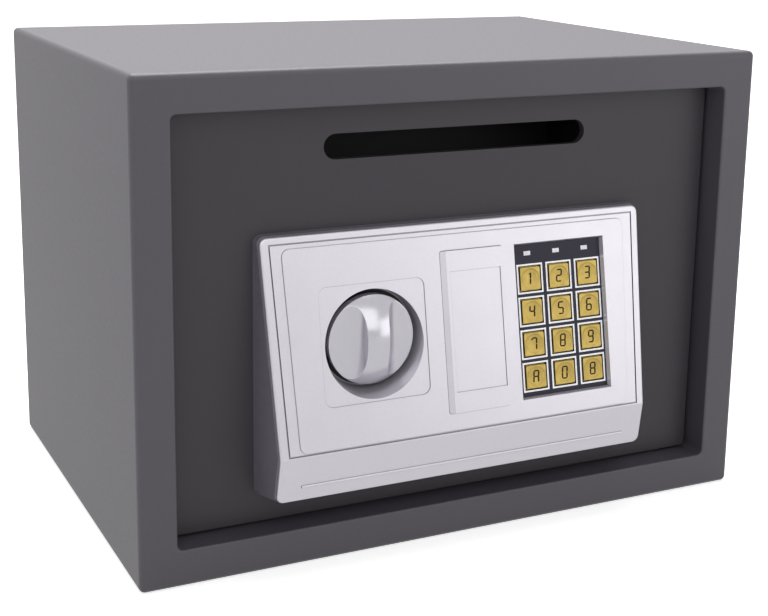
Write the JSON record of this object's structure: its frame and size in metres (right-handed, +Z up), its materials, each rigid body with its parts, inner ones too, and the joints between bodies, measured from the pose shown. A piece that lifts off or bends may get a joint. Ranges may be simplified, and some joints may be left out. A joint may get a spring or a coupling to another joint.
{
  "type": "electronic safe",
  "caption": "Sheet steel safe with a hinged door, deposit slot, sloped silver panel with knob, override lock cover and keypad, and a sliding bolt work behind the door.",
  "frame": {"origin": "middle of the cabinet's base, on its underside", "axes": "+X to the right seen from the front, +Y from the door to the back, +Z up"},
  "size_m": [0.35, 0.2625, 0.25],
  "materials": {
    "grey_paint": "fine satin powder coat",
    "carpet": "short needle felt",
    "brass": "turned",
    "steel": "zinc plated",
    "plated_steel": "bright nickel",
    "copper_winding": "enamelled wire under varnish",
    "dark_plastic": "fine texture",
    "silver_plastic": "satin silver paint on plastic",
    "overlay_plastic": "printed film",
    "lens_plastic": "clear lens",
    "rubber": "matt",
    "board": "solder mask",
    "black_plastic": "fine texture",
    "red_plastic": "moulded",
    "cell_jacket": "printed sleeve",
    "key_metal": "pale gold plated"
  },
  "bodies": {
    "cabinet": {"cabinet_shell": "grey_paint", "door_jambs": "grey_paint", "back_panel": "grey_paint", "hinge_bushes": "brass", "floor_mat": "carpet"},
    "door": {"door_plate": "grey_paint", "door_tray": "grey_paint", "inner_cover": "grey_paint", "cover_screws": "steel", "hinge_blocks": "steel", "hinge_pins": "steel", "slot_hood": "grey_paint", "panel_housing": "dark_plastic", "fascia": "silver_plastic", "panel_screws": "steel", "keypad_overlay": "overlay_plastic", "led_lenses": "lens_plastic", "key_mat": "rubber", "keypad_board": "board", "cable_grommet": "rubber", "spindle_bush": "brass", "guide_studs": "steel", "lock_housing": "plated_steel", "lock_nut": "plated_steel", "solenoid_frame": "steel", "solenoid_coil": "copper_winding", "solenoid_screws": "steel", "plunger_spring": "steel", "control_board": "board", "battery_tray": "black_plastic", "battery_contacts": "steel", "batteries": "cell_jacket"},
    "knob": {"knob": "silver_plastic", "knob_spindle": "steel", "knob_crank": "steel", "crank_screw": "steel"},
    "carriage": {"bolt_carriage": "steel", "locking_bolts": "plated_steel", "bolt_nuts": "steel"},
    "plunger": {"plunger": "steel"},
    "override": {"override_plug": "brass", "override_cam": "steel", "cam_screw": "steel"},
    "key_cover": {"key_cover": "silver_plastic"},
    "battery_cover": {"battery_cover": "black_plastic"},
    "reset": {"reset_button": "red_plastic"},
    "key_1": {"key_1": "key_metal"},
    "key_2": {"key_2": "key_metal"},
    "key_3": {"key_3": "key_metal"},
    "key_4": {"key_4": "key_metal"},
    "key_5": {"key_5": "key_metal"},
    "key_6": {"key_6": "key_metal"},
    "key_7": {"key_7": "key_metal"},
    "key_8": {"key_8": "key_metal"},
    "key_9": {"key_9": "key_metal"},
    "key_a": {"key_a": "key_metal"},
    "key_0": {"key_0": "key_metal"},
    "key_b": {"key_b": "key_metal"}
  },
  "joints": [
    {"name": "door_swing", "type": "hinge", "parent": "cabinet", "child": "door", "pos_m": [0.1355, -0.102, 0.125], "axis": [0, 0, 1], "range_deg": [0, 100]},
    {"name": "knob_turn", "type": "hinge", "parent": "door", "child": "knob", "pos_m": [-0.054, -0.12, 0.113], "axis": [0, 1, 0], "range_deg": [-70, 0]},
    {"name": "bolt_slide", "type": "slide", "parent": "door", "child": "carriage", "axis": [-1, 0, 0], "range_m": [0, 0.016]},
    {"name": "plunger_slide", "type": "slide", "parent": "door", "child": "plunger", "axis": [0, 0, 1], "range_m": [-0.005, 0], "deforming": ["plunger_spring"]},
    {"name": "override_turn", "type": "hinge", "parent": "door", "child": "override", "pos_m": [0.003, -0.12, 0.113], "axis": [0, 1, 0], "range_deg": [0, 90]},
    {"name": "key_cover_pull", "type": "slide", "parent": "door", "child": "key_cover", "axis": [0, -0.9826, 0.1858], "range_m": [0, 0.012]},
    {"name": "battery_cover_slide", "type": "slide", "parent": "door", "child": "battery_cover", "axis": [-1, 0, 0], "range_m": [0, 0.062]},
    {"name": "code_reset_press", "type": "slide", "parent": "door", "child": "reset", "axis": [0, -1, 0], "range_m": [0, 0.0015], "stiffness_N_per_m": 600},
    {"name": "press_1", "type": "slide", "parent": "door", "child": "key_1", "axis": [0, 0.9826, -0.1858], "range_m": [0, 0.0008], "stiffness_N_per_m": 1200},
    {"name": "press_2", "type": "slide", "parent": "door", "child": "key_2", "axis": [0, 0.9826, -0.1858], "range_m": [0, 0.0008], "stiffness_N_per_m": 1200},
    {"name": "press_3", "type": "slide", "parent": "door", "child": "key_3", "axis": [0, 0.9826, -0.1858], "range_m": [0, 0.0008], "stiffness_N_per_m": 1200},
    {"name": "press_4", "type": "slide", "parent": "door", "child": "key_4", "axis": [0, 0.9826, -0.1858], "range_m": [0, 0.0008], "stiffness_N_per_m": 1200},
    {"name": "press_5", "type": "slide", "parent": "door", "child": "key_5", "axis": [0, 0.9826, -0.1858], "range_m": [0, 0.0008], "stiffness_N_per_m": 1200},
    {"name": "press_6", "type": "slide", "parent": "door", "child": "key_6", "axis": [0, 0.9826, -0.1858], "range_m": [0, 0.0008], "stiffness_N_per_m": 1200},
    {"name": "press_7", "type": "slide", "parent": "door", "child": "key_7", "axis": [0, 0.9826, -0.1858], "range_m": [0, 0.0008], "stiffness_N_per_m": 1200},
    {"name": "press_8", "type": "slide", "parent": "door", "child": "key_8", "axis": [0, 0.9826, -0.1858], "range_m": [0, 0.0008], "stiffness_N_per_m": 1200},
    {"name": "press_9", "type": "slide", "parent": "door", "child": "key_9", "axis": [0, 0.9826, -0.1858], "range_m": [0, 0.0008], "stiffness_N_per_m": 1200},
    {"name": "press_a", "type": "slide", "parent": "door", "child": "key_a", "axis": [0, 0.9826, -0.1858], "range_m": [0, 0.0008], "stiffness_N_per_m": 1200},
    {"name": "press_0", "type": "slide", "parent": "door", "child": "key_0", "axis": [0, 0.9826, -0.1858], "range_m": [0, 0.0008], "stiffness_N_per_m": 1200},
    {"name": "press_b", "type": "slide", "parent": "door", "child": "key_b", "axis": [0, 0.9826, -0.1858], "range_m": [0, 0.0008], "stiffness_N_per_m": 1200}
  ],
  "couplings": [
    {"joint": "knob_turn", "follows": "bolt_slide", "rad_per_m": -76.35}
  ]
}
